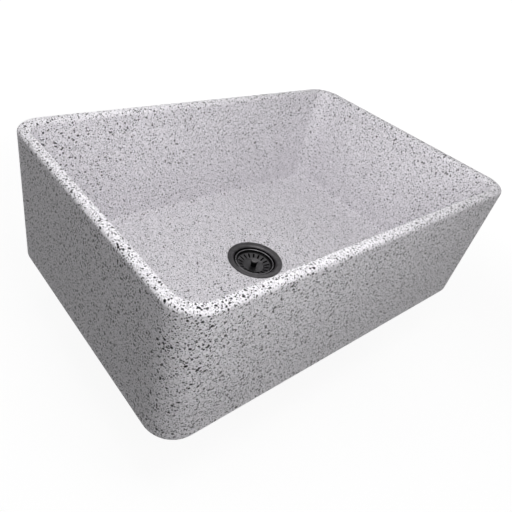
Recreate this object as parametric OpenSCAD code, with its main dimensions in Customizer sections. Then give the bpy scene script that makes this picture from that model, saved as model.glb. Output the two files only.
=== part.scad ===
// Farmhouse sink: a single-bowl fireclay basin with an apron front, and the basket
// strainer, clamping rings and tailpiece that are fitted through its drain hole.
// Millimetres, +Z up, +Y to the back, apron towards -Y.
// The origin is the centre of the basin's underside, on the drain's axis.

/* [Basin] */
// Width of the basin, left to right
basin_w = 762; // [600:1:900]
// Depth of the basin, front to back
basin_d = 508; // [420:1:600]
// Height of the basin
basin_h = 254; // [200:1:300]
// Radius of the upright outer corners
corner_r = 50; // [30:1:70]
// Round of the rim's outer edge
top_edge_r = 7; // [3:0.5:9]
// Round of the underside's outer edge
foot_edge_r = 9; // [4:0.5:14]
// Width of the rim
rim_w = 20; // [17:0.5:30]
// Round of the rim's inner edge
rim_inner_r = 8; // [4:0.5:10]
// How far each inner wall leans in from rim to floor
wall_taper = 8; // [3:0.5:12]
// Radius of the bowl's upright corners at the rim
bowl_corner_r = 34; // [28:1:60]
// Round where the bowl's walls meet its floor
floor_fillet_r = 7; // [5:0.5:18]
// Floor thickness at the walls
floor_t = 27; // [25:0.5:36]
// Floor thickness beside the drain
drain_floor_t = 20; // [18:0.5:23]
// Radius of the recess under the drain
recess_r = 72; // [64:1:90]
// Depth of the recess under the drain
recess_depth = 4; // [3:0.5:6]

/* [Strainer body] */
// Outer radius of the flange that shows in the bowl
flange_r = 57.15; // [55:0.05:60]
// Sheet thickness of the strainer body
cup_t = 1.5; // [1:0.1:2]
// Height of the flange's top above the floor beside it
flange_proud = 1.8; // [1.6:0.1:2.6]
// Inner radius of the throat below the flange
throat_r = 43; // [42.5:0.1:44.5]
// Round from the flange down into the throat
throat_bend_r = 6.5; // [5:0.1:7]
// Width of the ledge that the basket sits over
ledge_w = 4.2; // [3.6:0.1:4.6]
// Depth of the cup's floor below the flange's top
cup_depth = 34.5; // [33.5:0.5:38]
// Round between the cup's wall and its floor
cup_bend_r = 4; // [2.5:0.5:6]
// Thickness of the seal under the flange
seal_t = 1.4; // [1:0.1:1.6]
// Pitch of the screw threads
thread_pitch = 1.8; // [1.5:0.1:2.5]
// Depth of the screw threads
thread_depth = 0.9; // [0.6:0.1:1.2]

/* [Clamping rings] */
// Thickness of the rubber gasket under the basin
gasket_t = 3; // [2:0.5:4]
// Outer radius of the rubber gasket
gasket_r = 54; // [50:0.5:58]
// Thickness of the friction washer
friction_t = 0.8; // [0.5:0.1:1.2]
// Outer radius of the friction washer
friction_r = 53; // [50:0.5:58]
// Height of the lock nut
lock_nut_h = 10; // [6:0.5:11]
// Outer radius of the lock nut's clamping flange
lock_nut_r = 52; // [50:0.5:55]
// Outer radius over the lock nut's lugs
lug_r = 59; // [57:0.5:62]
// Number of lugs on the lock nut
lug_count = 6; // [4:1:8]
// Width of each lug
lug_w = 9; // [6:0.5:12]

/* [Outlet] */
// Bore radius of the outlet spigot
spigot_bore_r = 19.5; // [18.5:0.1:20.5]
// Thread radius of the outlet spigot
spigot_r = 23.9; // [23.5:0.1:24.5]
// Radius of the stopper's seat on top of the spigot
seat_r = 28; // [27:0.5:30]
// Thickness of the seat
seat_t = 1; // [0.8:0.1:1.6]
// Length of the spigot below the cup
spigot_len = 26; // [22:1:34]
// Thickness of the tailpiece washer
tail_washer_t = 2; // [1.5:0.1:3]
// Outer radius of the tailpiece
tail_r = 19.05; // [18.5:0.05:19.5]
// Wall thickness of the tailpiece
tail_wall = 1.2; // [0.8:0.1:1.6]
// Outer radius of the tailpiece's flange
tail_flange_r = 22.8; // [22:0.1:23.2]
// Thickness of the tailpiece's flange
tail_flange_t = 1.2; // [0.8:0.1:1.6]
// Length of the tailpiece
tail_len = 101.6; // [76:0.1:152.4]
// Height of the coupling nut
coupling_h = 22; // [18:0.5:24]
// Width of the coupling nut across its flats
coupling_flats = 56; // [54:0.5:60]
// Thickness of the coupling nut's lip
coupling_lip_t = 3; // [2:0.5:4]

/* [Basket] */
// Depth of the basket's rim below the flange's top
basket_drop = 5.4; // [4.8:0.1:7]
// Radius of the rolled bead round the basket's rim
bead_r = 1.3; // [1:0.1:1.5]
// Depth of the basket from its rim to its floor
basket_depth = 11.4; // [10:0.1:12.5]
// Sheet thickness of the basket
basket_t = 0.8; // [0.6:0.1:1]
// Inside round between the basket's wall and its slotted ring
wall_bend_r = 3; // [2:0.1:3.5]
// Radius of the basket's flat floor
basket_floor_r = 21; // [18:0.5:22]
// Inner end of the slots, from the axis
slot_in_r = 23; // [22.6:0.1:25]
// Outer end of the slots, from the axis
slot_out_r = 33.4; // [32:0.1:34]
// Width of the slots
slot_w = 3.6; // [2.5:0.1:4.2]
// Number of slots
slot_count = 18; // [12:1:20]
// Turn of the first slot from the +X axis
slot_turn = 10; // [0:1:20]

/* [Stopper] */
// Radius of the post housing on the basket's floor
housing_r = 6.3; // [5.5:0.1:7]
// Height of the post housing above the basket's floor
housing_h = 10.8; // [9:0.1:12]
// Radius of the knob
knob_r = 8; // [7.5:0.1:10]
// Thickness of the knob
knob_t = 3.5; // [3:0.1:5]
// Radius of the stem
stem_r = 3; // [2.5:0.1:3.5]
// Radius of the rubber stopper
stopper_r = 26; // [24:0.5:30]
// Thickness of the rubber stopper
stopper_t = 3.6; // [3:0.1:4]
// Radius of the plate that clamps the stopper
plate_r = 12; // [10:0.5:16]
// Thickness of that plate
plate_t = 1.2; // [0.8:0.1:1.5]
// Height of the stem's nut
stem_nut_h = 4; // [3:0.5:6]
// Width of the stem's nut across its flats
stem_nut_flats = 10; // [9:0.5:13]
// How far the knob and stopper lift
stopper_lift = 8; // [6:0.1:8.4]

/* [Hidden] */
$fn = 96;
// Gap left where a part only rests on another
rest_gap = 0.3;
// Radial clearance of a screwed joint
thread_gap = 0.1;
// Radial clearance of the stem in its housing
slide_gap = 0.08;
// Radial clearance of parts fixed on the stem, and of the housing in its hole
snug_gap = 0.05;
// Radial clearance of the strainer body in the basin's hole, and of the flange in its seat
hole_gap = 0.5;
seat_gap = 0.85;
// Radial clearance of the rings round the strainer body
ring_gap = 0.3;
// Radial clearance of the coupling nut's lip round the tailpiece
lip_gap = 0.95;
// Gap between the basket's bead and the throat
bead_gap = 2.2;
// How far a cutting shape runs past the face that it cuts
over = 1;

// How far the bowl's rounds lap its leaning walls
round_lap = 0.01;

// The bowl's walls
wall_lean = wall_taper / (basin_h - floor_t);
bowl_half_w = basin_w / 2 - rim_w;
bowl_half_d = basin_d / 2 - rim_w;
// The floor curves down to the drain inside this radius
dish_r = bowl_half_d - wall_taper - floor_fillet_r;
dish_drop = floor_t - drain_floor_t;

// Heights of the strainer body
flange_z = drain_floor_t + flange_proud;
seal_top_z = flange_z - cup_t;
seal_bottom_z = seal_top_z - seal_t;
bead_z = flange_z - basket_drop - bead_r;
ledge_z = bead_z - bead_r - rest_gap;
cup_floor_z = flange_z - cup_depth;
cup_bottom_z = cup_floor_z - cup_t;
seat_z = cup_floor_z + seat_t;
// Radii of the strainer body
hole_r = throat_r + cup_t + hole_gap;
hole_edge_r = throat_bend_r - cup_t - 1;
cup_in_r = throat_r - ledge_w;
cup_out_r = cup_in_r + cup_t;
cup_thread_r = cup_out_r + thread_depth;
spigot_hole_r = spigot_r + thread_gap;
// The floor dish runs from its rim down to the flange's seat
flange_seat_r = flange_r + seat_gap;
dish_run = dish_r - flange_seat_r;

// Heights of the clamping rings
gasket_z = recess_depth - gasket_t;
friction_z = gasket_z - friction_t;
lock_nut_z = friction_z - lock_nut_h;

// Heights of the outlet
spigot_z = cup_bottom_z - spigot_len;
tail_washer_z = spigot_z - tail_washer_t;
tail_flange_z = tail_washer_z - tail_flange_t;
tail_z = tail_washer_z - tail_len;
coupling_z = tail_flange_z - coupling_lip_t;

// The basket
bead_centre_r = throat_r - bead_gap - bead_r;
basket_z = bead_z + bead_r - basket_depth;
basket_under_z = basket_z - basket_t;
slot_mid_r = (slot_in_r + slot_out_r) / 2;
slot_zone_z = basket_z + 0.105 * basket_depth;
slot_top_z = basket_z + 0.437 * basket_depth;

// The stopper and what carries it
stopper_z = seat_z + rest_gap;
plate_z = stopper_z + stopper_t;
plate_top_z = plate_z + plate_t;
housing_z = plate_top_z + stopper_lift + rest_gap;
housing_top_z = basket_z + housing_h;
housing_neck_r = housing_r - 1.3;
knob_z = housing_top_z + rest_gap;
stem_nut_z = stopper_z - stem_nut_h;
stem_z = stem_nut_z - 1.2;
stem_top_z = knob_z + 0.7 * knob_t;

// A length to the nearest thousandth, so that sections at different reaches still match
function fine(length) = round(length * 1000) / 1000;

// Distance from a section's start to the bowl's wall at height z, where the rim is at reach
function wall_x(reach, z) = reach - fine((basin_h - z) * wall_lean);

// Height of the dished floor at a distance in from the dish's rim
function dish_z(run) = floor_t - dish_drop * pow(run / dish_run, 2);

// Half section of the basin's outside, from its middle to one side
module outside_section(reach) {
    translate([0, foot_edge_r])
        square([reach, basin_h - foot_edge_r - top_edge_r]);
    square([reach - foot_edge_r, foot_edge_r + over]);
    translate([reach - foot_edge_r, foot_edge_r])
        circle(foot_edge_r);
    translate([0, basin_h - top_edge_r - over])
        square([reach - top_edge_r, top_edge_r + over]);
    translate([reach - top_edge_r, basin_h - top_edge_r])
        circle(top_edge_r);
}

// Half section of the bowl's hollow, from its middle to one wall. Each round laps the
// leaning wall by a hair, so that it cuts across it and doesn't only touch it
module bowl_section(reach) {
    fillet_z = floor_t + floor_fillet_r;
    fillet_x = wall_x(reach, fillet_z) + round_lap - floor_fillet_r;
    rim_z = basin_h - rim_inner_r;
    rim_x = wall_x(reach, rim_z) - round_lap + rim_inner_r;
    polygon([
        [0, floor_t],
        [fillet_x, floor_t],
        [wall_x(reach, fillet_z - 1), fillet_z - 1],
        [wall_x(reach, basin_h + over), basin_h + over],
        [0, basin_h + over]
    ]);
    translate([fillet_x, fillet_z])
        intersection() {
            circle(floor_fillet_r);
            translate([0, -floor_fillet_r - over])
                square([floor_fillet_r + over, 2 * (floor_fillet_r + over)]);
        }
    difference() {
        translate([rim_x - rim_inner_r - 1, rim_z])
            square([rim_inner_r + 1, rim_inner_r + over]);
        translate([rim_x, rim_z])
            circle(rim_inner_r);
    }
}

// A block with upright round corners of radius corner, whose sides all have one section:
// child 0 is that section at the block's half depth, child 1 at its half width, and
// child 2 at the corner's radius
module four_sided(half_w, half_d, corner) {
    for (side = [0, 1]) {
        rotate([0, 0, 180 * side])
            translate([-(half_w - corner), 0, 0])
                rotate([90, 0, 90])
                    linear_extrude(2 * (half_w - corner))
                        children(0);
        rotate([0, 0, 180 * side])
            translate([0, half_d - corner, 0])
                rotate([90, 0, 0])
                    linear_extrude(2 * (half_d - corner))
                        children(1);
    }
    for (x = [-1, 1], y = [-1, 1])
        translate([x * (half_w - corner), y * (half_d - corner), 0])
            rotate([0, 0, atan2(y, x) - 45])
                rotate_extrude(angle = 90)
                    children(2);
}

// Quarter of a ring: a sheet of thickness t bent through a right angle
module bend(outer_r, t) {
    difference() {
        intersection() {
            circle(outer_r);
            square(outer_r);
        }
        circle(outer_r - t);
    }
}

// Section of a screw thread between two heights, whose roots are at radius r
module thread_section(r, low, high) {
    turns = floor((high - low) / thread_pitch);
    for (i = [0 : turns - 1])
        translate([r, low + i * thread_pitch])
            polygon([
                [-0.4, 0],
                [0, 0],
                [thread_depth, 0.42 * thread_pitch],
                [thread_depth, 0.58 * thread_pitch],
                [0, thread_pitch],
                [-0.4, thread_pitch]
            ]);
}

// Hexagonal nut body with both ends chamfered, standing on z = 0
module hexagon(flats, h, chamfer) {
    corners_r = flats / 2 / cos(30);
    intersection() {
        cylinder(r = corners_r, h = h, $fn = 6);
        rotate_extrude()
            polygon([
                [0, 0],
                [corners_r - chamfer, 0],
                [corners_r, chamfer * 0.6],
                [corners_r, h - chamfer * 0.6],
                [corners_r - chamfer, h],
                [0, h]
            ]);
    }
}

// Basin: apron front, one bowl, floor dished to the drain, and a recess below it
module basin() {
    color("gainsboro")
        difference() {
            four_sided(basin_w / 2, basin_d / 2, corner_r) {
                outside_section(basin_d / 2);
                outside_section(basin_w / 2);
                outside_section(corner_r);
            }
            four_sided(bowl_half_w, bowl_half_d, bowl_corner_r) {
                bowl_section(bowl_half_d);
                bowl_section(bowl_half_w);
                bowl_section(bowl_corner_r);
            }
            floor_dish();
            drain_hole();
        }
}

// Hollow of the floor's fall to the drain: level at its rim, steeper towards the middle
module floor_dish() {
    steps = 16;
    rotate_extrude()
        polygon([
            [0, dish_z(dish_run)],
            for (i = [steps : -1 : 0])
                [dish_r - dish_run * i / steps, dish_z(dish_run * i / steps)],
            [dish_r, floor_t + over],
            [0, floor_t + over]
        ]);
}

// Hollow of the drain: the flange's seat, the hole with its rounded edge, and the recess
module drain_hole() {
    translate([0, 0, seal_bottom_z])
        cylinder(r = flange_seat_r, h = floor_t + over - seal_bottom_z);
    translate([0, 0, -over])
        cylinder(r = hole_r, h = floor_t + 2 * over);
    translate([0, 0, -over])
        cylinder(r = recess_r, h = recess_depth + over);
    rotate_extrude()
        difference() {
            translate([hole_r - over, seal_bottom_z - hole_edge_r])
                square([hole_edge_r + over, hole_edge_r + over]);
            translate([hole_r + hole_edge_r, seal_bottom_z - hole_edge_r])
                circle(hole_edge_r);
        }
}

// Seal pressed between the flange and the basin
module flange_seal() {
    color("dimgray")
        rotate_extrude()
            translate([hole_r + hole_edge_r + 0.5, seal_bottom_z])
                square([flange_r - hole_r - hole_edge_r - 1.3, seal_t]);
}

// Strainer body: flange, throat, ledge and threaded cup, pressed from one sheet
module strainer_body() {
    color("slategray")
        rotate_extrude() {
            // flange, with a half-round edge
            translate([throat_r + throat_bend_r, seal_top_z])
                square([flange_r - cup_t / 2 - throat_r - throat_bend_r, cup_t]);
            translate([flange_r - cup_t / 2, flange_z - cup_t / 2])
                circle(cup_t / 2);
            // bend into the throat
            translate([throat_r + throat_bend_r, flange_z - throat_bend_r])
                rotate([0, 0, 90])
                    bend(throat_bend_r, cup_t);
            // throat
            translate([throat_r, ledge_z - cup_t])
                square([cup_t, flange_z - throat_bend_r - ledge_z + cup_t]);
            // ledge
            translate([cup_in_r, ledge_z - cup_t])
                square([throat_r - cup_in_r + cup_t, cup_t]);
            // cup wall and its thread
            translate([cup_in_r, cup_bottom_z + cup_bend_r])
                square([cup_t, ledge_z - cup_bottom_z - cup_bend_r]);
            thread_section(cup_out_r, cup_bottom_z + cup_bend_r, ledge_z - cup_t);
            // bend into the cup's floor
            translate([cup_out_r - cup_bend_r, cup_bottom_z + cup_bend_r])
                rotate([0, 0, -90])
                    bend(cup_bend_r, cup_t);
            // cup floor
            translate([spigot_hole_r, cup_bottom_z])
                square([cup_out_r - cup_bend_r - spigot_hole_r, cup_t]);
        }
}

// Flat ring with softened edges, standing on z = 0
module ring(in_r, out_r, t, edge) {
    rotate_extrude()
        polygon([
            [in_r, 0],
            [out_r - edge, 0],
            [out_r, edge],
            [out_r, t - edge],
            [out_r - edge, t],
            [in_r, t]
        ]);
}

// Rubber gasket under the basin
module rubber_gasket() {
    color("black")
        translate([0, 0, gasket_z])
            ring(cup_thread_r + ring_gap, gasket_r, gasket_t, 0.5);
}

// Friction washer between the gasket and the lock nut
module friction_washer() {
    color("tan")
        translate([0, 0, friction_z])
            ring(cup_thread_r + ring_gap, friction_r, friction_t, 0.1);
}

// Lock nut: a threaded ring with a clamping flange and lugs to turn it by
module lock_nut() {
    bore_r = cup_thread_r + thread_gap;
    hub_r = bore_r + 5.5;
    color("silver")
        translate([0, 0, lock_nut_z])
            difference() {
                union() {
                    cylinder(r = hub_r, h = lock_nut_h);
                    translate([0, 0, lock_nut_h - 3])
                        cylinder(r = lock_nut_r, h = 3);
                    intersection() {
                        cylinder(r = lug_r, h = lock_nut_h);
                        for (i = [0 : lug_count - 1])
                            rotate([0, 0, 360 * i / lug_count])
                                translate([bore_r + 1, -lug_w / 2, 0])
                                    cube([lug_r - bore_r, lug_w, lock_nut_h]);
                    }
                }
                translate([0, 0, -over])
                    cylinder(r = bore_r, h = lock_nut_h + 2 * over);
            }
}

// Outlet spigot: the stopper's seat inside the cup, and the threaded outlet below it
module outlet_spigot() {
    root_r = spigot_r - thread_depth;
    color("darkgray")
        rotate_extrude() {
            translate([spigot_bore_r, spigot_z])
                square([root_r - spigot_bore_r, seat_z - spigot_z]);
            translate([spigot_bore_r, cup_floor_z])
                square([seat_r - spigot_bore_r, seat_t]);
            translate([root_r - 1, cup_bottom_z - 1])
                square([thread_depth + 1, cup_t + 1 + seat_t / 2]);
            thread_section(root_r, spigot_z, cup_bottom_z - 1);
        }
}

// Washer between the spigot and the tailpiece
module tailpiece_washer() {
    color("whitesmoke")
        translate([0, 0, tail_washer_z])
            ring(tail_r - tail_wall, tail_flange_r, tail_washer_t, 0.3);
}

// Tailpiece: a plain tube with a turned-out flange at its top
module tailpiece() {
    color("lightgray")
        rotate_extrude() {
            translate([tail_r - tail_wall, tail_z])
                square([tail_wall, tail_len]);
            translate([tail_r - tail_wall, tail_flange_z])
                square([tail_flange_r - tail_r + tail_wall, tail_flange_t]);
        }
}

// Coupling nut: holds the tailpiece's flange up against the spigot
module coupling_nut() {
    color("lightslategray")
        translate([0, 0, coupling_z])
            difference() {
                hexagon(coupling_flats, coupling_h, 2.5);
                translate([0, 0, -over])
                    cylinder(r = tail_r + lip_gap, h = coupling_h);
                translate([0, 0, coupling_lip_t])
                    cylinder(r = spigot_r + thread_gap, h = coupling_h);
            }
}

// Half section of the basket's sheet, from the hole for the post housing to the bead. The
// slotted ring leans up to a short upright wall, which the bead crowns.
module basket_section() {
    wall_in_r = bead_centre_r - 1.9;
    lean = atan((slot_top_z - slot_zone_z) / (slot_out_r - slot_in_r + 0.6));
    bend_x = wall_in_r - wall_bend_r;
    bend_z = slot_top_z + (bend_x - slot_out_r) * tan(lean) + wall_bend_r / cos(lean);
    steps = 6;
    polygon(concat(
        [
            [housing_neck_r + snug_gap, basket_under_z],
            [basket_floor_r + 0.3, basket_under_z],
            [slot_in_r - 0.3, slot_zone_z - basket_t]
        ],
        [
            for (i = [0 : steps])
                let (a = (lean - 90) * (1 - i / steps), r = wall_bend_r + basket_t)
                    [bend_x + r * cos(a), bend_z + r * sin(a)]
        ],
        [
            [wall_in_r + basket_t, bead_z - 0.4],
            [bead_centre_r - 0.2, bead_z - 0.4],
            [bead_centre_r - 0.5, bead_z + 0.8],
            [wall_in_r + 0.35, bead_z + 0.5],
            [wall_in_r, bead_z - 0.1]
        ],
        [
            for (i = [steps : -1 : 0])
                let (a = (lean - 90) * (1 - i / steps))
                    [bend_x + wall_bend_r * cos(a), bend_z + wall_bend_r * sin(a)]
        ],
        [
            [slot_in_r - 0.6, slot_zone_z],
            [basket_floor_r, basket_z],
            [housing_neck_r + snug_gap, basket_z]
        ]
    ));
    translate([bead_centre_r, bead_z])
        circle(bead_r);
}

// Basket: a shallow bowl with a rolled rim and a ring of radial slots
module basket() {
    color("gray")
        difference() {
            rotate_extrude()
                basket_section();
            for (i = [0 : slot_count - 1])
                rotate([0, 0, slot_turn + 360 * i / slot_count])
                    slot_cut();
        }
}

// One slot's hollow, with round ends
module slot_cut() {
    r = slot_w / 2;
    h = basket_depth + 2 * over;
    translate([0, 0, basket_under_z - over]) {
        translate([slot_in_r + r, -r, 0])
            cube([slot_out_r - slot_in_r - slot_w, slot_w, h]);
        translate([slot_in_r + r, 0, 0])
            cylinder(r = r, h = h, $fn = 32);
        translate([slot_out_r - r, 0, 0])
            cylinder(r = r, h = h, $fn = 32);
    }
}

// Post housing: riveted through the basket's floor, it guides the stem
module post_housing() {
    bore_r = stem_r + slide_gap;
    color("darkslategray")
        rotate_extrude()
            polygon([
                [bore_r, housing_z],
                [housing_neck_r, housing_z],
                [housing_neck_r, basket_under_z - 1.2],
                [housing_r, basket_under_z - 1],
                [housing_r, basket_under_z],
                [housing_neck_r, basket_under_z],
                [housing_neck_r, basket_z],
                [housing_r, basket_z],
                [housing_r, housing_top_z - 0.4],
                [housing_r - 0.4, housing_top_z],
                [bore_r, housing_top_z]
            ]);
}

// Knob: a low round cap screwed on the stem
module knob() {
    edge = 1;
    color("silver")
        rotate_extrude()
            difference() {
                union() {
                    translate([0, knob_z])
                        square([knob_r - edge, knob_t]);
                    translate([0, knob_z + 0.4])
                        square([knob_r, knob_t - edge - 0.4]);
                    translate([knob_r - edge, knob_z + knob_t - edge])
                        circle(edge);
                }
                translate([0, knob_z - over])
                    square([stem_r + snug_gap, stem_top_z - knob_z + over]);
            }
}

// Stem: the rod that joins the knob to the stopper
module stem() {
    color("silver")
        rotate_extrude()
            polygon([
                [0, stem_z],
                [stem_r - 0.5, stem_z],
                [stem_r, stem_z + 0.5],
                [stem_r, stem_top_z],
                [0, stem_top_z]
            ]);
}

// Plate that spreads the nut's load on top of the stopper
module clamp_plate() {
    color("silver")
        translate([0, 0, plate_z])
            ring(stem_r + snug_gap, plate_r, plate_t, 0.2);
}

// Rubber stopper that closes the outlet
module stopper() {
    round_r = stopper_t / 2;
    color("black")
        rotate_extrude() {
            translate([stem_r + snug_gap, stopper_z])
                square([stopper_r - round_r - stem_r - snug_gap, stopper_t]);
            translate([stopper_r - round_r, stopper_z + round_r])
                circle(round_r);
        }
}

// Nut that holds the stopper on the stem
module stem_nut() {
    color("silver")
        translate([0, 0, stem_nut_z])
            difference() {
                hexagon(stem_nut_flats, stem_nut_h, 0.6);
                translate([0, 0, -over])
                    cylinder(r = stem_r + snug_gap, h = stem_nut_h + 2 * over);
            }
}

basin();
flange_seal();
strainer_body();
rubber_gasket();
friction_washer();
lock_nut();
outlet_spigot();
tailpiece_washer();
tailpiece();
coupling_nut();
basket();
post_housing();
knob();
stem();
clamp_plate();
stopper();
stem_nut();
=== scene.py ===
"""Looks of a farmhouse sink with a basket strainer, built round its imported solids."""

from __future__ import annotations

import enum
import logging
from dataclasses import dataclass
from typing import Any, Sequence

import bpy
from mathutils import Matrix, Vector


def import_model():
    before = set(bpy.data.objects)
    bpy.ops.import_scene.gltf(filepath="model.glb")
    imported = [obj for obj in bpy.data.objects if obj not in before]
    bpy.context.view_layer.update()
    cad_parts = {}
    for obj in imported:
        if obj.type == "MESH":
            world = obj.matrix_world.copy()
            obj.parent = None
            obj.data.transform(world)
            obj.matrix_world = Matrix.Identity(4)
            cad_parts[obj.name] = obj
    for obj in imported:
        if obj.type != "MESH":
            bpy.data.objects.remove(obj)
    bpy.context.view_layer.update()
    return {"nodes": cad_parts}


LOG = logging.getLogger("sink")

Colour = tuple[float, float, float]
Place = tuple[float, float, float]
Socket = Any

# Stretches of a noise's values that are spread to full range, from strong contrast to weak.
STRONG = (0.4, 0.6)
MEDIUM = (0.35, 0.65)
WEAK = (0.3, 0.7)
NOISE_MIDDLE = (0.5, 0.5, 0.5)

# The upright part of a normal, from a face that looks down to one that doesn't, and from a
# steep face to a level one.
DOWNWARD = (-0.9, -0.6)
LEVEL = (0.4, 0.8)


class Metal(enum.Enum):
    """How a metal surface was finished: how deep its marks are, and whether they are rings."""

    PRESSED = (4e-6, False)
    TURNED = (8e-6, True)
    CAST = (3e-5, False)
    POLISHED = (1e-6, True)

    @property
    def depth(self) -> float:
        """Return the depth of the marks, in metres."""
        return self.value[0]

    @property
    def ringed(self) -> bool:
        """Return whether the marks are rings round the drain's axis."""
        return self.value[1]


class Graph:
    """One material's shader nodes, with short methods that add and join them."""

    def __init__(self, name: str) -> None:
        """Start an empty material.

        Args:
            name: The material's name.
        """
        self.material = bpy.data.materials.new(name)
        self.material.use_nodes = True
        self.tree = self.material.node_tree
        self.tree.nodes.clear()
        self.shader = self.tree.nodes.new("ShaderNodeBsdfPrincipled")
        output = self.tree.nodes.new("ShaderNodeOutputMaterial")
        self.tree.links.new(self.shader.outputs[0], output.inputs["Surface"])
        self.place = self.tree.nodes.new("ShaderNodeTexCoord")

    @property
    def object_place(self) -> Socket:
        """Return the socket of Object coordinates."""
        return self.place.outputs["Object"]

    @property
    def facing(self) -> Socket:
        """Return the socket of the surface's own normal."""
        return self.place.outputs["Normal"]

    def feed(self, socket: Socket, value: Any) -> None:
        """Join a socket to an input, or write a value on it.

        Args:
            socket: The input to fill.
            value: An output socket, a number or a tuple.
        """
        if isinstance(value, bpy.types.NodeSocket):
            self.tree.links.new(value, socket)
        else:
            socket.default_value = value

    def surface(self, **inputs: Any) -> None:
        """Fill inputs of the surface shader.

        Args:
            **inputs: Values by input name, with _ for a space.
        """
        for name, value in inputs.items():
            socket = self.shader.inputs[name.replace("_", " ")]
            if isinstance(value, tuple) and len(value) == 3 and socket.type == "RGBA":
                value = (*value, 1.0)
            self.feed(socket, value)

    def math(self, operation: str, *values: Any, clamp: bool = False) -> Socket:
        """Add a Math node.

        Args:
            operation: The node's operation.
            *values: Its inputs, as sockets or numbers.
            clamp: Whether the result is held between 0 and 1.

        Returns:
            The result's socket.
        """
        node = self.tree.nodes.new("ShaderNodeMath")
        node.operation = operation
        node.use_clamp = clamp
        for socket, value in zip(node.inputs, values):
            self.feed(socket, value)
        return node.outputs[0]

    def vector(self, operation: str, *values: Any) -> Socket:
        """Add a Vector Math node.

        Args:
            operation: The node's operation.
            *values: Its inputs; a lone number scales the vector.

        Returns:
            The result's socket.
        """
        node = self.tree.nodes.new("ShaderNodeVectorMath")
        node.operation = operation
        sockets = [node.inputs[0], node.inputs[3 if operation == "SCALE" else 1]]
        for socket, value in zip(sockets, values):
            self.feed(socket, value)
        return node.outputs["Value" if operation == "LENGTH" else "Vector"]

    def axes(self, vector: Socket) -> Sequence[Socket]:
        """Split a vector.

        Args:
            vector: The vector's socket.

        Returns:
            The sockets of its three parts.
        """
        node = self.tree.nodes.new("ShaderNodeSeparateXYZ")
        self.feed(node.inputs[0], vector)
        return node.outputs

    def flat(self, first: Socket, second: Socket) -> Socket:
        """Make a vector of two numbers.

        Args:
            first: Its first part.
            second: Its second part.

        Returns:
            The vector's socket; its third part is 0.
        """
        node = self.tree.nodes.new("ShaderNodeCombineXYZ")
        self.feed(node.inputs[0], first)
        self.feed(node.inputs[1], second)
        return node.outputs[0]

    def noise(
        self, place: Socket, scale: float, detail: float = 2.0, colour: bool = False
    ) -> Socket:
        """Add a Noise texture.

        Args:
            place: Where to read it.
            scale: Waves per metre.
            detail: Octaves.
            colour: Whether three values are wanted, and not one.

        Returns:
            The noise's socket, about 0.5 on average.
        """
        node = self.tree.nodes.new("ShaderNodeTexNoise")
        node.inputs["Scale"].default_value = scale
        node.inputs["Detail"].default_value = detail
        self.feed(node.inputs["Vector"], place)
        return node.outputs["Color" if colour else "Fac"]

    def spread(
        self, value: Socket, low: float, high: float, to_low: float = 0.0, to_high: float = 1.0
    ) -> Socket:
        """Map a value from one range to another, held inside it.

        Args:
            value: The value.
            low: Start of its range.
            high: End of its range.
            to_low: Result at low.
            to_high: Result at high.

        Returns:
            The mapped value's socket.
        """
        node = self.tree.nodes.new("ShaderNodeMapRange")
        node.interpolation_type = "SMOOTHSTEP"
        self.feed(node.inputs["Value"], value)
        names = ("From Min", "From Max", "To Min", "To Max")
        for name, number in zip(names, (low, high, to_low, to_high)):
            self.feed(node.inputs[name], number)
        return node.outputs["Result"]

    def mix(self, share: Any, first: Any, second: Any) -> Socket:
        """Mix two colours.

        Args:
            share: How much of the second, 0 to 1.
            first: A colour or socket.
            second: A colour or socket.

        Returns:
            The mixed colour's socket.
        """
        node = self.tree.nodes.new("ShaderNodeMix")
        node.data_type = "RGBA"
        self.feed(node.inputs["Factor"], share)
        colours = [s for s in node.inputs if s.type == "RGBA"]
        for socket, value in zip(colours, (first, second)):
            self.feed(socket, (*value, 1.0) if isinstance(value, tuple) else value)
        return next(s for s in node.outputs if s.type == "RGBA")

    def blend(self, share: float, first: Socket, second: Socket) -> Socket:
        """Mix two numbers.

        Args:
            share: How much of the second, 0 to 1.
            first: A number's socket.
            second: A number's socket.

        Returns:
            The mixed number's socket.
        """
        return self.math("MULTIPLY_ADD", first, 1.0 - share, self.math("MULTIPLY", second, share))

    def bump(self, height: Socket, depth: float) -> None:
        """Raise the surface by a height.

        Args:
            height: The height, 0 to 1.
            depth: What a height of 1 is, in metres.
        """
        node = self.tree.nodes.new("ShaderNodeBump")
        node.inputs["Strength"].default_value = 1.0
        node.inputs["Distance"].default_value = depth
        self.feed(node.inputs["Height"], height)
        self.feed(self.shader.inputs["Normal"], node.outputs["Normal"])


@dataclass(frozen=True)
class Flecks:
    """One size of dark fleck in the glaze, as small blots scattered through space.

    A fleck's radius lies between smallest and largest, a share of the places has none
    (scarcity), and its ink is between palest and darkest. The ink reaches that tone inside
    the outline, at a distance of the largest radius divided by edge. Lengths are in metres.
    """

    spacing: float
    smallest: float
    largest: float
    scarcity: float
    palest: float = 0.95
    darkest: float = 1.0
    edge: float = 6.0


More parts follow.
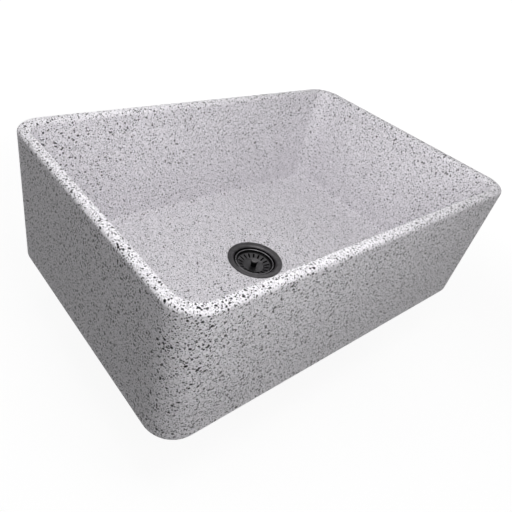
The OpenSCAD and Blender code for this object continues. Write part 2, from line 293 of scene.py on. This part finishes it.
@dataclass(frozen=True)
class SpeckledGlaze:
    """Grey-white glaze with dark flecks of several sizes, and bare clay underneath.

    Flecks are a little smaller in the bowl than outside it, where the spray lies thicker,
    and the glaze is paler in a ring as wide as halo round each fleck. Between the flecks it
    runs from shade to light, in a fine grain with a little cloud. The flecks' outlines
    wander, and the surface is slightly wavy. Lengths are in metres, and waves are per metre.
    """

    light: Colour = (0.964, 0.942, 0.981)
    shade: Colour = (0.503, 0.487, 0.513)
    pale: Colour = (0.974, 0.952, 0.99)
    ink: Colour = (0.010, 0.009, 0.010)
    clay: Colour = (0.60, 0.53, 0.44)
    clay_shade: Colour = (0.50, 0.43, 0.35)
    roughness: float = 0.40
    clay_roughness: float = 0.85
    gloss: float = 0.04
    halo: float = 0.0014
    grain_waves: float = 420.0
    cloud_waves: float = 160.0
    cloud_share: float = 0.05
    wander_waves: float = 420.0
    wander_reach: float = 0.0022
    wavy_waves: float = 14.0
    wavy_depth: float = 0.0006
    clay_grain_waves: float = 1100.0
    clay_cloud_waves: float = 22.0
    clay_cloud_share: float = 0.6
    in_bowl: float = 0.88
    bowl_half: tuple[float, float] = (0.360, 0.233)
    bowl_top: float = 0.246
    bowl_blur: float = 0.006
    flecks: tuple[Flecks, ...] = (
        Flecks(spacing=0.0070, smallest=0.0015, largest=0.0026, scarcity=0.50),
        Flecks(spacing=0.0040, smallest=0.0012, largest=0.0017, scarcity=0.42),
        Flecks(spacing=0.0026, smallest=0.0009, largest=0.0011, scarcity=0.50),
    )

    def fleck_masks(
        self, graph: Graph, place: Socket, growth: Socket, flecks: Flecks
    ) -> tuple[Socket, Socket]:
        """Add one size of fleck.

        Args:
            graph: The material's nodes.
            place: Where to read the pattern.
            growth: What the radii are multiplied by.
            flecks: That size's measures.

        Returns:
            A socket that is up to flecks.darkest inside a fleck and 0 outside, and one
            that falls from 1 at a fleck's edge to 0 where its halo ends.
        """
        cells = graph.tree.nodes.new("ShaderNodeTexVoronoi")
        cells.inputs["Scale"].default_value = 1.0 / flecks.spacing
        graph.feed(cells.inputs["Vector"], place)
        # A cell's colour goes with its fleck's place in it, and is shuffled to set the size.
        shuffled = graph.tree.nodes.new("ShaderNodeTexWhiteNoise")
        graph.feed(shuffled.inputs["Vector"], cells.outputs["Color"])
        chance = graph.tree.nodes.new("ShaderNodeSeparateColor")
        graph.feed(chance.inputs[0], shuffled.outputs["Color"])
        low, high = flecks.smallest / flecks.spacing, flecks.largest / flecks.spacing
        slope = (high - low) / (1.0 - flecks.scarcity)
        start = low - slope * flecks.scarcity
        reach = graph.math("MULTIPLY_ADD", chance.outputs[0], slope, start)
        reach = graph.math("MULTIPLY", reach, growth)
        depth = graph.math("SUBTRACT", reach, cells.outputs["Distance"])
        inside = graph.math("MULTIPLY", depth, flecks.edge / high, clamp=True)
        there = graph.math("GREATER_THAN", chance.outputs[0], flecks.scarcity)
        inks = flecks.darkest - flecks.palest
        tone = graph.math("MULTIPLY_ADD", chance.outputs[1], inks, flecks.palest)
        near = graph.math("MULTIPLY_ADD", depth, flecks.spacing / self.halo, 1.0, clamp=True)
        return (
            graph.math("MULTIPLY", graph.math("MULTIPLY", inside, there), tone),
            graph.math("MULTIPLY", near, there),
        )

    def growth(self, graph: Graph) -> Socket:
        """Tell the bowl from the rest of the basin.

        Args:
            graph: The material's nodes.

        Returns:
            A socket that is in_bowl inside the bowl and 1 outside it.
        """
        x, y, z = graph.axes(graph.object_place)
        past_x = graph.math("SUBTRACT", graph.math("ABSOLUTE", x), self.bowl_half[0])
        past_y = graph.math("SUBTRACT", graph.math("ABSOLUTE", y), self.bowl_half[1])
        past_top = graph.math("SUBTRACT", z, self.bowl_top)
        outside = graph.math("MAXIMUM", graph.math("MAXIMUM", past_x, past_y), past_top)
        return graph.spread(outside, -self.bowl_blur, self.bowl_blur, self.in_bowl, 1.0)

    def material(self) -> bpy.types.Material:
        """Make the glaze's material.

        Returns:
            The material.
        """
        graph = Graph("speckled_glaze")
        place = graph.object_place
        wander = graph.noise(place, self.wander_waves, 1.0, colour=True)
        wander = graph.vector("SUBTRACT", wander, NOISE_MIDDLE)
        warped = graph.vector("ADD", place, graph.vector("SCALE", wander, self.wander_reach))
        growth = self.growth(graph)
        dark: Socket | float = 0.0
        halo: Socket | float = 0.0
        for flecks in self.flecks:
            fleck, ring = self.fleck_masks(graph, warped, growth, flecks)
            dark = graph.math("MAXIMUM", dark, fleck)
            halo = graph.math("MAXIMUM", halo, ring)
        grain = graph.noise(place, self.grain_waves)
        cloud = graph.noise(place, self.cloud_waves)
        tone = graph.spread(graph.blend(self.cloud_share, grain, cloud), *MEDIUM)
        glaze = graph.mix(tone, self.shade, self.light)
        speckled = graph.mix(dark, graph.mix(halo, glaze, self.pale), self.ink)
        clay_grain = graph.noise(place, self.clay_grain_waves, 1.0)
        clay_cloud = graph.noise(place, self.clay_cloud_waves, 4.0)
        fired = graph.spread(graph.blend(self.clay_cloud_share, clay_grain, clay_cloud), *STRONG)
        clay = graph.mix(fired, self.clay_shade, self.clay)
        below = graph.spread(graph.axes(graph.facing)[2], *DOWNWARD, 1.0, 0.0)
        graph.surface(
            Base_Color=graph.mix(below, speckled, clay),
            Roughness=graph.spread(below, 0.0, 1.0, self.roughness, self.clay_roughness),
            Specular_IOR_Level=self.gloss,
        )
        graph.bump(graph.noise(place, self.wavy_waves, 1.0), self.wavy_depth)
        return graph.material


@dataclass(frozen=True)
class Zone:
    """A ring of a round piece with a tone and roughness of its own, between two radii and two
    heights.

    Such rings carry painted shade in hollows and a painted highlight on a bead, besides polish.
    With walls_only it holds no more than the steep faces there, such as the sides of slots.
    It fades in over blur inside its ends. Lengths are in metres.
    """

    tone: float
    roughness: float
    reach: tuple[float, float]
    height: tuple[float, float] = (-1.0, 1.0)
    walls_only: bool = False
    blur: float = 0.0004

    def mask(self, graph: Graph, reach: Socket, height: Socket) -> Socket:
        """Tell the zone from the rest of its piece.

        Args:
            graph: The material's nodes.
            reach: The distance from the drain's axis.
            height: The height.

        Returns:
            A socket that is 1 inside the zone and 0 outside it.
        """
        inside: Socket | float = 1.0
        for value, (start, end) in ((reach, self.reach), (height, self.height)):
            past = graph.math("MULTIPLY", graph.math("SUBTRACT", value, start), 1.0 / self.blur)
            before = graph.math("MULTIPLY", graph.math("SUBTRACT", end, value), 1.0 / self.blur)
            inside = graph.math("MINIMUM", inside, graph.math("MINIMUM", past, before))
        if self.walls_only:
            upright = graph.math("ABSOLUTE", graph.axes(graph.facing)[2])
            inside = graph.math("MINIMUM", inside, graph.spread(upright, *LEVEL, 1.0, 0.0))
        return graph.math("MAXIMUM", inside, 0.0, clamp=True)


@dataclass(frozen=True)
class MetalFinish:
    """A metal's colour and polish, with the marks its making left.

    Its colour clouds down to shade times its tone, and its roughness goes with the marks,
    between the two ends of worn. Its zones change tone and polish in rings; a dark zone tone is
    painted shade in a hollow and a light one is a painted highlight. Waves are per metre.
    """

    name: str
    tone: Colour
    roughness: float
    made: Metal = Metal.PRESSED
    zones: tuple[Zone, ...] = ()
    grain_waves: float = 1400.0
    ring_waves: float = 3000.0
    cloud_waves: float = 90.0
    shade: float = 0.72
    worn: tuple[float, float] = (0.85, 1.2)

    def clouded(self, graph: Graph, cloud: Socket, brightness: float) -> Socket:
        """Add the metal's colour at some brightness.

        Args:
            graph: The material's nodes.
            cloud: Where the colour is full, 0 to 1.
            brightness: What its tone is multiplied by.

        Returns:
            The colour's socket.
        """
        dull, bright = (
            tuple(share * brightness * part for part in self.tone) for share in (self.shade, 1.0)
        )
        return graph.mix(cloud, dull, bright)

    def material(self) -> bpy.types.Material:
        """Make this metal's material.

        Returns:
            The material.
        """
        graph = Graph(self.name)
        place = graph.object_place
        x, y, height = graph.axes(place)
        reach = graph.vector("LENGTH", graph.flat(x, y))
        if self.made.ringed:
            mark = graph.noise(graph.flat(reach, height), self.ring_waves)
        else:
            mark = graph.noise(place, self.grain_waves)
        cloud = graph.spread(graph.noise(place, self.cloud_waves, 3.0), *WEAK)
        colour = self.clouded(graph, cloud, 1.0)
        polish: Socket | float = self.roughness
        # A zone's tone is painted shade in a hollow or a painted highlight on a bead, mixed over
        # the metal's colour.
        for zone in self.zones:
            here = zone.mask(graph, reach, height)
            zone_colour = self.clouded(graph, cloud, zone.tone / self.tone[0])
            colour = graph.mix(here, colour, zone_colour)
            change = graph.math("MULTIPLY", here, graph.math("SUBTRACT", zone.roughness, polish))
            polish = graph.math("ADD", polish, change)
        worn = graph.spread(mark, *WEAK, *self.worn)
        graph.surface(
            Base_Color=colour,
            Metallic=1.0,
            Roughness=graph.math("MULTIPLY", polish, worn, clamp=True),
        )
        graph.bump(mark, self.made.depth)
        return graph.material


@dataclass(frozen=True)
class SoftFinish:
    """Rubber, plastic or fibre: a matt colour with a fine grain.

    Its clouds are cloud_size times as wide as its grain, and cloud_share is how much of the
    change from shade to light is theirs. Its roughness strays by the share worn to either
    side. Waves are per metre, and the depth is in metres.
    """

    name: str
    light: Colour
    shade: Colour
    roughness: float
    grain_waves: float = 900.0
    depth: float = 1e-5
    cloud_size: float = 12.0
    cloud_share: float = 0.5
    worn: float = 0.1

    def material(self) -> bpy.types.Material:
        """Make this finish's material.

        Returns:
            The material.
        """
        graph = Graph(self.name)
        place = graph.object_place
        grain = graph.noise(place, self.grain_waves, 3.0)
        cloud = graph.noise(place, self.grain_waves / self.cloud_size)
        tone = graph.spread(graph.blend(self.cloud_share, grain, cloud), *MEDIUM)
        smoothest = (1.0 - self.worn) * self.roughness
        roughest = min(1.0, (1.0 + self.worn) * self.roughness)
        graph.surface(
            Base_Color=graph.mix(tone, self.shade, self.light),
            Roughness=graph.spread(grain, *WEAK, smoothest, roughest),
        )
        graph.bump(grain, self.depth)
        return graph.material


def dress(
    nodes: dict[str, bpy.types.Object], names: Sequence[str], material: bpy.types.Material
) -> None:
    """Put a material on carried-over CAD nodes.

    Args:
        nodes: The frame's nodes by name.
        names: The nodes to dress.
        material: Their material.
    """
    for name in names:
        nodes[name].data.materials.clear()
        nodes[name].data.materials.append(material)
        LOG.info("%s wears %s", name, material.name)


@dataclass
class Basin:
    """The fireclay basin."""

    glaze: SpeckledGlaze = SpeckledGlaze()

    def build(self, nodes: dict[str, bpy.types.Object]) -> None:
        """Dress the basin.

        Args:
            nodes: The frame's nodes by name.
        """
        dress(nodes, ["basin"], self.glaze.material())


@dataclass
class Strainer:
    """The strainer body with its rings, outlet, basket and stopper."""

    gunmetal: MetalFinish = MetalFinish(
        "gunmetal",
        (0.088, 0.085, 0.088),
        0.42,
        zones=(
            # Painted shade: inside the cup and down the throat, below the flange, the metal is
            # made nearly black.
            Zone(tone=0.008, roughness=0.5, reach=(-1.0, 0.0436), height=(-1.0, 0.0200)),
            Zone(tone=0.10, roughness=0.26, reach=(0.0425, 0.0448), height=(0.0203, 1.0)),
        ),
    )
    basket: MetalFinish = MetalFinish(
        "basket_gunmetal",
        (0.074, 0.072, 0.075),
        0.36,
        zones=(
            # Painted shade: the basket's upper wall, just inside the bead, is made nearly black.
            Zone(tone=0.010, roughness=0.5, reach=(0.0344, 0.0384), height=(0.0100, 1.0)),
            # The bead is smoother, and its colour is made lighter as a painted highlight.
            Zone(tone=0.17, roughness=0.22, reach=(0.0380, 1.0), height=(0.0148, 1.0)),
            # Painted shade: the steep sides of the slots are made nearly black.
            Zone(tone=0.006, roughness=0.6, reach=(0.0222, 0.0344), walls_only=True),
        ),
    )
    post: MetalFinish = MetalFinish("post_dark", (0.02, 0.02, 0.021), 0.4)
    knob: MetalFinish = MetalFinish("knob_satin", (0.125, 0.121, 0.124), 0.38, Metal.TURNED)
    steel: MetalFinish = MetalFinish("stem_steel", (0.5, 0.5, 0.51), 0.3, Metal.TURNED)
    zinc: MetalFinish = MetalFinish("cast_zinc", (0.5, 0.51, 0.53), 0.5, Metal.CAST)
    spigot: MetalFinish = MetalFinish("spigot_metal", (0.4, 0.4, 0.41), 0.35, Metal.TURNED)
    chrome: MetalFinish = MetalFinish("chrome", (0.7, 0.71, 0.72), 0.12, Metal.POLISHED)
    rubber: SoftFinish = SoftFinish("black_rubber", (0.035, 0.035, 0.036), (0.02, 0.02, 0.02), 0.7)
    seal: SoftFinish = SoftFinish("seal", (0.06, 0.06, 0.06), (0.035, 0.035, 0.035), 0.8)
    plastic: SoftFinish = SoftFinish("white_plastic", (0.8, 0.8, 0.78), (0.74, 0.74, 0.72), 0.45)
    fibre: SoftFinish = SoftFinish(
        "fibre", (0.5, 0.37, 0.24), (0.34, 0.24, 0.15), 0.9, grain_waves=500.0, depth=4e-5
    )

    def build(self, nodes: dict[str, bpy.types.Object]) -> None:
        """Dress the strainer's parts.

        Args:
            nodes: The frame's nodes by name.
        """
        dress(nodes, ["strainer_body"], self.gunmetal.material())
        dress(nodes, ["basket"], self.basket.material())
        dress(nodes, ["post_housing"], self.post.material())
        dress(nodes, ["knob"], self.knob.material())
        dress(nodes, ["stem", "clamp_plate", "stem_nut"], self.steel.material())
        dress(nodes, ["lock_nut"], self.zinc.material())
        dress(nodes, ["outlet_spigot"], self.spigot.material())
        dress(nodes, ["tailpiece", "coupling_nut"], self.chrome.material())
        dress(nodes, ["rubber_gasket", "stopper"], self.rubber.material())
        dress(nodes, ["flange_seal"], self.seal.material())
        dress(nodes, ["tailpiece_washer"], self.plastic.material())
        dress(nodes, ["friction_washer"], self.fibre.material())


@dataclass(frozen=True)
class Lamp:
    """A square soft lamp that looks at a point. Lengths are in metres, its power in watts."""

    name: str
    place: Place
    side: float
    power: float
    target: Place = (0.0, 0.0, 0.12)

    def light(self) -> None:
        """Put the lamp in the scene."""
        data = bpy.data.lights.new(self.name, "AREA")
        data.size = self.side
        data.energy = self.power
        lamp = bpy.data.objects.new(self.name, data)
        bpy.context.scene.collection.objects.link(lamp)
        lamp.location = self.place
        ahead = Vector(self.target) - Vector(self.place)
        lamp.rotation_euler = ahead.to_track_quat("-Z", "Y").to_euler()


@dataclass(frozen=True)
class Viewpoint:
    """The camera that took the photograph, as its outlines tell.

    Right, down and ahead are its directions, and the photograph's optical centre is given in
    pixels from its left top corner. Lens and sensor are in millimetres.
    """

    place: Place = (-0.616602, -0.522959, 0.624564)
    right: Place = (0.77129083, -0.60912321, 0.184606)
    down: Place = (-0.27415155, -0.57969305, -0.76733102)
    ahead: Place = (0.57441395, 0.54122536, -0.614104)
    lens: float = 34.584
    sensor: float = 36.0
    photo_side: float = 512.0
    centre: tuple[float, float] = (232.756, 263.760)

    def stand(self) -> None:
        """Put the camera in the scene and look through it."""
        data = bpy.data.cameras.new("camera")
        data.lens = self.lens
        data.sensor_width = self.sensor
        data.shift_x = 0.5 - self.centre[0] / self.photo_side
        data.shift_y = self.centre[1] / self.photo_side - 0.5
        axes = (Vector(self.right), -Vector(self.down), -Vector(self.ahead))
        camera = bpy.data.objects.new("camera", data)
        turn = Matrix(axes).transposed().to_4x4()
        camera.matrix_world = Matrix.Translation(self.place) @ turn
        bpy.context.scene.collection.objects.link(camera)
        bpy.context.scene.camera = camera


@dataclass
class Studio:
    """White background, pale floor, soft light and the photograph's camera.

    The floor glows for whoever looks at it, from near_glow at the nearer end of fade to white
    at its further end, so that it hides its far edge and still shows the object's shadow.
    """

    floor_height: float = -0.146
    floor_half: float = 60.0
    floor_roughness: float = 0.9
    lamps: tuple[Lamp, ...] = (
        Lamp("front_low", (0.0, -2.739, 0.702), 2.0, 9.5),
        Lamp("back_left", (-1.622, 1.622, 1.726), 2.0, 11.4),
        Lamp("back_right", (1.92, 1.92, 0.8), 2.0, 26.0),
        Lamp("near_front", (-0.5, -0.8, 0.7), 0.6, 3.05, (0.3, 0.2, 0.14)),
        Lamp("over_left", (-0.3, 0.1, 0.8), 0.5, 1.58, (0.36, 0.1, 0.1)),
        Lamp("over_front", (-0.2, -0.35, 1.0), 0.5, 3.25, (0.3, 0.25, 0.1)),
    )
    camera: Viewpoint = Viewpoint()
    sky: float = 0.1
    floor_tone: float = 0.16
    near_glow: float = 0.90
    white: float = 1.0
    fade: tuple[float, float] = (0.7, 1.6)

    def build(self) -> None:
        """Make the floor, the lamps, the world and the camera."""
        self.lay_floor()
        for lamp in self.lamps:
            lamp.light()
        self.hang_sky()
        self.camera.stand()

    def lay_floor(self) -> None:
        """Lay a floor that looks white from afar and keeps the object's shadow near it."""
        mesh = bpy.data.meshes.new("floor")
        half, height = self.floor_half, self.floor_height
        corners = [(x * half, y * half, height) for x, y in ((-1, -1), (1, -1), (1, 1), (-1, 1))]
        mesh.from_pydata(corners, [], [(0, 1, 2, 3)])
        floor = bpy.data.objects.new("floor", mesh)
        bpy.context.scene.collection.objects.link(floor)
        graph = Graph("pale_floor")
        graph.surface(
            Base_Color=(self.floor_tone,) * 3,
            Roughness=self.floor_roughness,
            Specular_IOR_Level=0.0,
        )
        nodes, links = graph.tree.nodes, graph.tree.links
        glow = nodes.new("ShaderNodeEmission")
        both = nodes.new("ShaderNodeAddShader")
        output = next(n for n in nodes if n.type == "OUTPUT_MATERIAL")
        reach = graph.vector("LENGTH", graph.object_place)
        level = graph.spread(reach, *self.fade, self.near_glow, self.white)
        links.new(self.seen(graph.tree, 0.0, level), glow.inputs["Strength"])
        links.new(graph.shader.outputs[0], both.inputs[0])
        links.new(glow.outputs[0], both.inputs[1])
        links.new(both.outputs[0], output.inputs["Surface"])
        mesh.materials.append(graph.material)

    @staticmethod
    def seen(
        tree: bpy.types.NodeTree, lighting: float, looked_at: Socket | float
    ) -> Socket:
        """Give one level to rays that light the object and another to those that look.

        Args:
            tree: The material's or world's nodes.
            lighting: The level for rays that light a surface.
            looked_at: The level for camera, glossy and transmission rays.

        Returns:
            The level's socket.
        """
        path = tree.nodes.new("ShaderNodeLightPath")
        looks = path.outputs["Is Camera Ray"]
        for name in ("Is Glossy Ray", "Is Transmission Ray"):
            either = tree.nodes.new("ShaderNodeMath")
            either.operation = "MAXIMUM"
            tree.links.new(looks, either.inputs[0])
            tree.links.new(path.outputs[name], either.inputs[1])
            looks = either.outputs[0]
        level = tree.nodes.new("ShaderNodeMapRange")
        level.inputs["To Min"].default_value = lighting
        if isinstance(looked_at, bpy.types.NodeSocket):
            tree.links.new(looked_at, level.inputs["To Max"])
        else:
            level.inputs["To Max"].default_value = looked_at
        tree.links.new(looks, level.inputs["Value"])
        return level.outputs["Result"]

    def hang_sky(self) -> None:
        """Light the scene evenly, with a background as white as the floor's far end."""
        world = bpy.data.worlds.new("studio")
        bpy.context.scene.world = world
        world.use_nodes = True
        nodes, links = world.node_tree.nodes, world.node_tree.links
        nodes.clear()
        sky = nodes.new("ShaderNodeBackground")
        sky.inputs["Color"].default_value = (1.0, 1.0, 1.0, 1.0)
        output = nodes.new("ShaderNodeOutputWorld")
        links.new(self.seen(world.node_tree, self.sky, self.white), sky.inputs["Strength"])
        links.new(sky.outputs[0], output.inputs["Surface"])


def main() -> None:
    """Load the frame, dress it, and light it."""
    logging.basicConfig(level=logging.INFO, format="%(name)s: %(message)s")
    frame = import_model()
    Basin().build(frame["nodes"])
    Strainer().build(frame["nodes"])
    Studio().build()
    bpy.context.scene.view_settings.view_transform = "Standard"
    bpy.context.view_layer.update()


if __name__ == "__main__":
    main()
